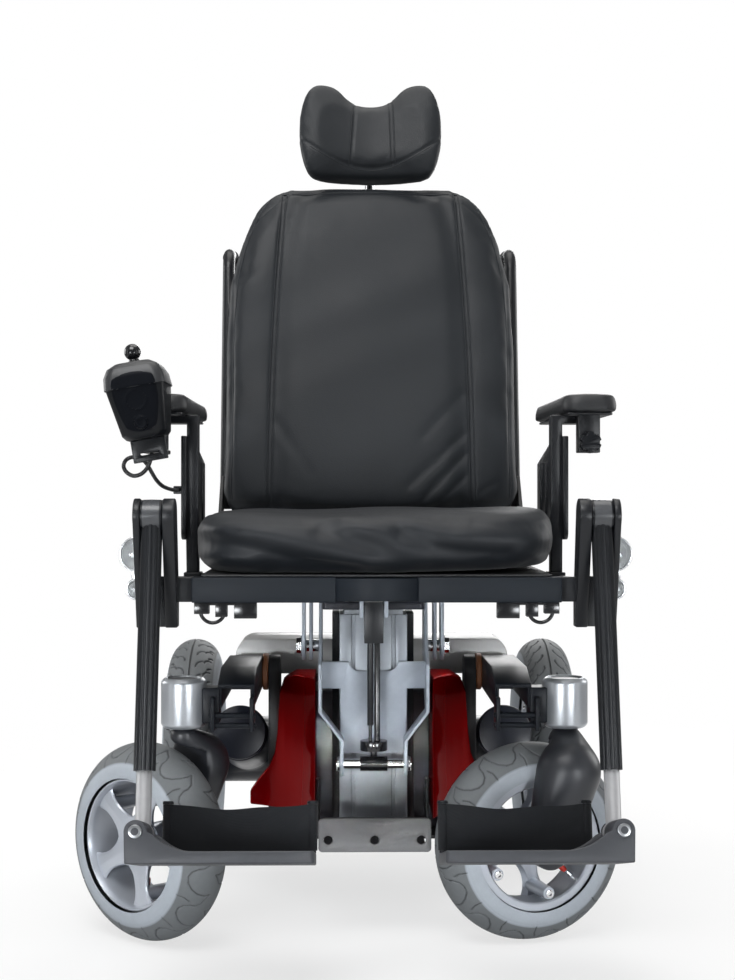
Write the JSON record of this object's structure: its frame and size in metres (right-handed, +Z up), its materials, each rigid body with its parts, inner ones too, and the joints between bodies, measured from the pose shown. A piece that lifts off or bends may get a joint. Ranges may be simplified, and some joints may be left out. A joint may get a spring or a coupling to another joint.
{
  "type": "all terrain power wheelchair",
  "caption": "Power wheelchair with castors in front of larger drive wheels, lifting and tilting seat, reclining back with headrest, joystick and elevating legrests.",
  "frame": {"origin": "on the floor, under the middle of the box round the resting chair", "axes": "+Z up, -Y towards the front of the chair, -X on the occupant's right hand"},
  "size_m": [0.7916, 1.0664, 1.3175],
  "materials": {
    "frame_black": "satin black powder coat",
    "tray_grey": "dark grey powder coat",
    "plate_grey": "grey powder coat",
    "cover_red": "glossy red moulding",
    "shroud_grey": "satin grey moulding",
    "motor_navy": "satin navy black",
    "column_silver": "brushed extrusion",
    "yoke_steel": "light blue grey paint",
    "chrome": "bright plating",
    "tyre_grey": "grey non-marking rubber",
    "rim_silver": "silver lacquer",
    "fork_black": "satin black casting",
    "upholstery": "dark grey leather look",
    "pad_black": "moulded soft black skin",
    "pod_black": "fine grained black",
    "foot_grey": "dark grey moulding",
    "strap_black": "woven band",
    "lens_clear": "clear moulding",
    "battery_case": "battery case"
  },
  "bodies": {
    "base": {"chassis_tray": "tray_grey", "front_plate": "plate_grey", "battery_pair": "battery_case", "side_cover_left": "cover_red", "side_cover_right": "cover_red", "rear_shroud": "shroud_grey", "drive_motors": "motor_navy", "column_outer": "column_silver"},
    "lift": {"column_inner": "column_silver", "lift_head": "motor_navy", "tilt_yoke": "yoke_steel", "yoke_shaft": "chrome"},
    "strut_foot": {"strut_rod": "frame_black"},
    "strut_top": {"strut_cylinder": "frame_black"},
    "seat": {"seat_rails": "frame_black", "cross_members": "frame_black", "seat_pan": "tray_grey", "seat_cushion": "upholstery", "tilt_hangers": "yoke_steel", "knee_bracket_left": "frame_black", "knee_bracket_right": "frame_black", "lamp_shells": "pod_black", "lamp_lenses": "lens_clear", "wiring_looms": "pod_black"},
    "back": {"back_shell": "tray_grey", "back_cushion": "upholstery", "push_handles": "frame_black"},
    "headrest": {"headrest_post": "chrome", "headrest_pad": "upholstery"},
    "clamp": {"clamp_knob": "pod_black"},
    "gimbal": {"stick_gimbal": "pod_black"},
    "stick": {"joystick_stick": "pod_black"},
    "suspension_left": {"swing_arm_left": "frame_black", "castor_housing_left": "column_silver"},
    "castor_left": {"castor_fork_left": "fork_black"},
    "front_wheel_left": {"front_tyre_left": "tyre_grey", "front_rim_left": "rim_silver"},
    "rear_wheel_left": {"rear_tyre_left": "tyre_grey", "rear_rim_left": "rim_silver"},
    "legrest_left": {"leg_tube_left": "frame_black"},
    "leg_slide_left": {"leg_slider_left": "column_silver"},
    "foot_left": {"footplate_left": "foot_grey", "heel_strap_left": "strap_black"},
    "arm_left": {"armrest_left": "frame_black", "arm_pad_left": "pad_black"},
    "suspension_right": {"swing_arm_right": "frame_black", "castor_housing_right": "column_silver"},
    "castor_right": {"castor_fork_right": "fork_black"},
    "front_wheel_right": {"front_tyre_right": "tyre_grey", "front_rim_right": "rim_silver"},
    "rear_wheel_right": {"rear_tyre_right": "tyre_grey", "rear_rim_right": "rim_silver"},
    "legrest_right": {"leg_tube_right": "frame_black"},
    "leg_slide_right": {"leg_slider_right": "column_silver"},
    "foot_right": {"footplate_right": "foot_grey", "heel_strap_right": "strap_black"},
    "arm_right": {"armrest_right": "frame_black", "arm_pad_right": "pad_black", "joystick_pod": "pod_black", "joystick_cable": "pad_black"}
  },
  "joints": [
    {"name": "suspension_left_swing", "type": "hinge", "parent": "base", "child": "suspension_left", "pos_m": [0.23711, 0.04321, 0.358], "axis": [1, 0, 0], "range_deg": [-5, 5], "stiffness_Nm_per_rad": 900, "springref_deg": 4.58},
    {"name": "castor_left_swivel", "type": "hinge", "parent": "suspension_left", "child": "castor_left", "pos_m": [0.31211, -0.17179, 0.33], "axis": [0, 0, 1], "continuous": true},
    {"name": "front_wheel_left_spin", "type": "hinge", "parent": "castor_left", "child": "front_wheel_left", "pos_m": [0.26064, -0.16223, 0.14], "axis": [-0.309, 0.9511, 0], "continuous": true},
    {"name": "rear_wheel_left_spin", "type": "hinge", "parent": "base", "child": "rear_wheel_left", "pos_m": [0.34311, 0.34321, 0.19], "axis": [1, 0, 0], "continuous": true},
    {"name": "suspension_right_swing", "type": "hinge", "parent": "base", "child": "suspension_right", "pos_m": [-0.15489, 0.04321, 0.358], "axis": [1, 0, 0], "range_deg": [-5, 5], "stiffness_Nm_per_rad": 900, "springref_deg": 4.58},
    {"name": "castor_right_swivel", "type": "hinge", "parent": "suspension_right", "child": "castor_right", "pos_m": [-0.22989, -0.17179, 0.33], "axis": [0, 0, 1], "continuous": true},
    {"name": "front_wheel_right_spin", "type": "hinge", "parent": "castor_right", "child": "front_wheel_right", "pos_m": [-0.2808, -0.15959, 0.14], "axis": [0.6691, 0.7431, 0], "continuous": true},
    {"name": "rear_wheel_right_spin", "type": "hinge", "parent": "base", "child": "rear_wheel_right", "pos_m": [-0.26089, 0.34321, 0.19], "axis": [1, 0, 0], "continuous": true},
    {"name": "seat_lift", "type": "slide", "parent": "base", "child": "lift", "axis": [0, 0, 1], "range_m": [0, 0.18]},
    {"name": "seat_tilt", "type": "hinge", "parent": "lift", "child": "seat", "pos_m": [0.04111, -0.01679, 0.404], "axis": [-1, 0, 0], "range_deg": [0, 20]},
    {"name": "strut_swing", "type": "hinge", "parent": "lift", "child": "strut_foot", "pos_m": [0.04111, -0.10179, 0.239], "axis": [-1, 0, 0], "range_deg": [0, 7]},
    {"name": "strut_stretch", "type": "slide", "parent": "strut_foot", "child": "strut_top", "axis": [0, 0, 1], "range_m": [0, 0.03]},
    {"name": "back_recline", "type": "hinge", "parent": "seat", "child": "back", "pos_m": [0.04111, 0.15521, 0.56], "axis": [-1, 0, 0], "range_deg": [0, 30]},
    {"name": "headrest_height", "type": "slide", "parent": "back", "child": "headrest", "axis": [0, 0.1564, 0.9877], "range_m": [0, 0.08]},
    {"name": "legrest_left_elevate", "type": "hinge", "parent": "seat", "child": "legrest_left", "pos_m": [0.33511, -0.35279, 0.607], "axis": [-1, 0, 0], "range_deg": [0, 60]},
    {"name": "leg_slide_left_length", "type": "slide", "parent": "legrest_left", "child": "leg_slide_left", "axis": [0, -0.2419, -0.9703], "range_m": [0, 0.08]},
    {"name": "foot_left_flip", "type": "hinge", "parent": "leg_slide_left", "child": "foot_left", "pos_m": [0.33511, -0.45125, 0.21209], "axis": [0, 0.9703, -0.2419], "range_deg": [0, 90]},
    {"name": "arm_left_height", "type": "slide", "parent": "seat", "child": "arm_left", "axis": [0, 0, 1], "range_m": [0, 0.06]},
    {"name": "legrest_right_elevate", "type": "hinge", "parent": "seat", "child": "legrest_right", "pos_m": [-0.25289, -0.35279, 0.607], "axis": [-1, 0, 0], "range_deg": [0, 60]},
    {"name": "leg_slide_right_length", "type": "slide", "parent": "legrest_right", "child": "leg_slide_right", "axis": [0, -0.2419, -0.9703], "range_m": [0, 0.08]},
    {"name": "foot_right_flip", "type": "hinge", "parent": "leg_slide_right", "child": "foot_right", "pos_m": [-0.25289, -0.45125, 0.21209], "axis": [0, -0.9703, 0.2419], "range_deg": [0, 90]},
    {"name": "arm_right_height", "type": "slide", "parent": "seat", "child": "arm_right", "axis": [0, 0, 1], "range_m": [0, 0.06]},
    {"name": "clamp_turn", "type": "hinge", "parent": "arm_left", "child": "clamp", "pos_m": [0.33911, -0.23179, 0.706], "axis": [0, 1, 0], "continuous": true},
    {"name": "stick_roll", "type": "hinge", "parent": "arm_right", "child": "gimbal", "pos_m": [-0.27856, -0.32679, 0.80254], "axis": [0.9848, 0, 0.1736], "range_deg": [-16, 16], "stiffness_Nm_per_rad": 0.4},
    {"name": "stick_pitch", "type": "hinge", "parent": "gimbal", "child": "stick", "pos_m": [-0.27856, -0.32679, 0.80254], "axis": [0, 1, 0], "range_deg": [-16, 16], "stiffness_Nm_per_rad": 0.4}
  ],
  "couplings": [
    {"joint": "strut_swing", "follows": "seat_tilt", "ratio": 0.2935},
    {"joint": "strut_stretch", "follows": "seat_tilt", "m_per_rad": 0.0777}
  ]
}
